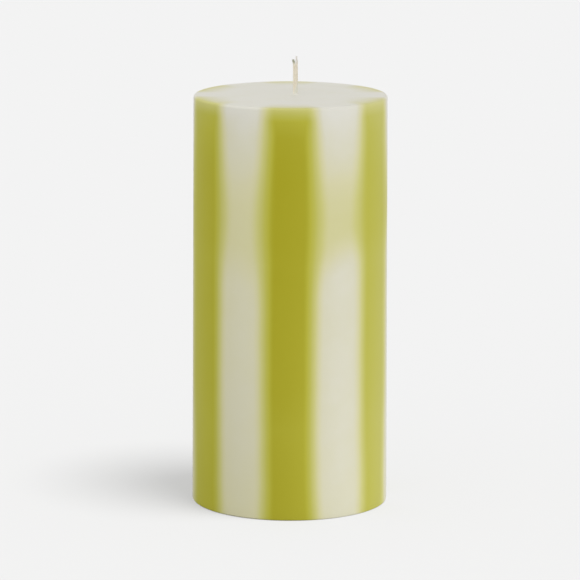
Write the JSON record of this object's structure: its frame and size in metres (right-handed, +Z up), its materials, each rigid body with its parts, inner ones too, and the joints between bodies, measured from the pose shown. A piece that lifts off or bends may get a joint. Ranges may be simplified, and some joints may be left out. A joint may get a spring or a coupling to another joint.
{
  "type": "pillar candle",
  "caption": "Round pillar candle of white wax with broad vertical stripes of green wax, a braided cotton wick and a steel wick sustainer set in its base.",
  "frame": {"origin": "centre of the base, on the surface that the candle stands on", "axes": "+Z up along the candle, from its base to its wick; -Y through the middle of the first green stripe, which is the front; +X to the right of it, the side to which the wick leaves the top off centre"},
  "size_m": [0.073, 0.073, 0.1674],
  "materials": {
    "white_wax": "smooth moulded paraffin wax, translucent, satin sheen",
    "green_wax": "smooth moulded paraffin wax, dyed yellow-green through, satin sheen",
    "cotton": "flat braided cotton, waxed, natural colour",
    "tinned_steel": "bright tinned sheet steel"
  },
  "bodies": {
    "root": {"wax_body": "white_wax", "green_stripe_1": "green_wax", "green_stripe_2": "green_wax", "green_stripe_3": "green_wax", "green_stripe_4": "green_wax", "green_stripe_5": "green_wax", "green_stripe_6": "green_wax", "wick": "cotton", "wick_sustainer": "tinned_steel"}
  },
  "joints": []
}
